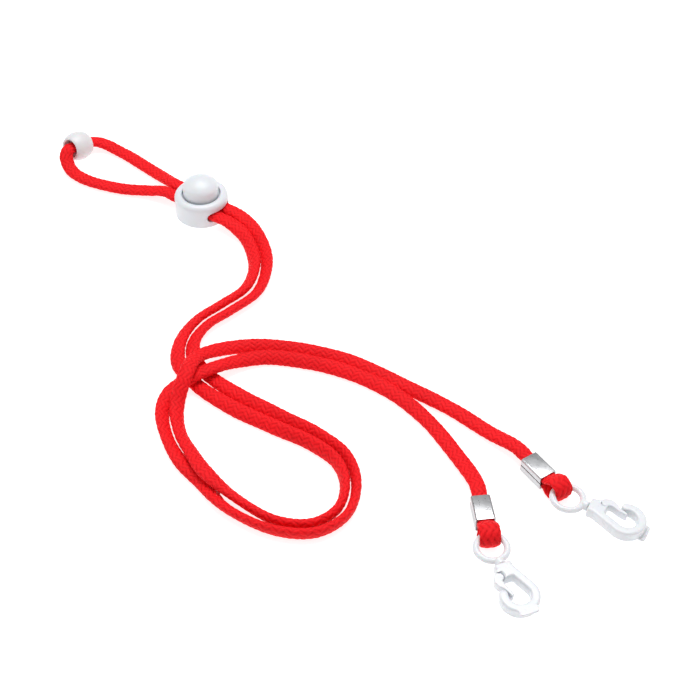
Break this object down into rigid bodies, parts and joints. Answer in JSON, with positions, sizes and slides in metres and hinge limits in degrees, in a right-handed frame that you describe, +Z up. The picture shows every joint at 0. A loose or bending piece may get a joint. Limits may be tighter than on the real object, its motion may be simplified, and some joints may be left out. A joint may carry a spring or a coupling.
{
  "type": "eyeglass retainer strap",
  "caption": "Doubled red braided cord with a push-button cord lock, a bead on its loop, and a crimped swivel clip with a gate hook on each end.",
  "frame": {"origin": "centre of the cord lock's foot, on the table that the strap lies on", "axes": "+Z up from the table, +Y away from the clips, +X towards the clips' side"},
  "size_m": [0.1702, 0.1931, 0.0133],
  "materials": {
    "cord": "braided polyester",
    "bead": "satin moulded",
    "lock": "satin moulded",
    "clip": "moulded",
    "crimp": "bright nickel plate",
    "spring": "drawn wire"
  },
  "bodies": {
    "strap": {"cord_loop": "cord", "cord_run_a": "cord", "cord_run_b": "cord", "cord_fold_a": "cord", "cord_fold_b": "cord", "crimp_a": "crimp", "crimp_b": "crimp"},
    "lock": {"lock_body": "lock", "lock_base": "lock", "lock_spring": "spring"},
    "button": {"lock_button": "lock"},
    "bead": {"bead": "bead"},
    "eye_a": {"eye_a": "clip"},
    "eye_b": {"eye_b": "clip"},
    "hook_a": {"hook_a": "clip"},
    "hook_b": {"hook_b": "clip"},
    "gate_a": {"gate_a": "clip"},
    "gate_b": {"gate_b": "clip"}
  },
  "joints": [
    {"name": "lock_slide", "type": "slide", "parent": "strap", "child": "lock", "axis": [0.809, -0.5878, 0], "range_m": [-0.004, 0.004]},
    {"name": "button_press", "type": "slide", "parent": "lock", "child": "button", "axis": [0, 0, -1], "range_m": [0, 0.001], "stiffness_N_per_m": 500, "springref_m": -0.002, "deforming": ["lock_spring"]},
    {"name": "bead_slide", "type": "slide", "parent": "strap", "child": "bead", "axis": [0.6287, 0.7493, -0.2079], "range_m": [-0.0004, 0.0004]},
    {"name": "eye_swing_a", "type": "hinge", "parent": "strap", "child": "eye_a", "pos_m": [0.10039, -0.11717, 0.0032], "axis": [-0.829, -0.5592, 0], "range_deg": [-30, 90]},
    {"name": "hook_swivel_a", "type": "hinge", "parent": "eye_a", "child": "hook_a", "pos_m": [0.10263, -0.12048, 0.00299], "axis": [0.8893, -0.4531, -0.061], "continuous": true},
    {"name": "gate_flex_a", "type": "hinge", "parent": "hook_a", "child": "gate_a", "pos_m": [0.11217, -0.12242, 0.00242], "axis": [-0.0544, 0.0277, -0.9981], "range_deg": [0, 16], "stiffness_Nm_per_rad": 0.03},
    {"name": "eye_swing_b", "type": "hinge", "parent": "strap", "child": "eye_b", "pos_m": [0.08132, -0.13301, 0.00323], "axis": [-0.9925, -0.1219, 0], "range_deg": [-30, 90]},
    {"name": "hook_swivel_b", "type": "hinge", "parent": "eye_b", "child": "hook_b", "pos_m": [0.08181, -0.13698, 0.00299], "axis": [0.3739, -0.9255, -0.061], "continuous": true},
    {"name": "gate_flex_b", "type": "hinge", "parent": "hook_b", "child": "gate_b", "pos_m": [0.08291, -0.14665, 0.00242], "axis": [0.0229, -0.0566, 0.9981], "range_deg": [0, 16], "stiffness_Nm_per_rad": 0.03}
  ]
}
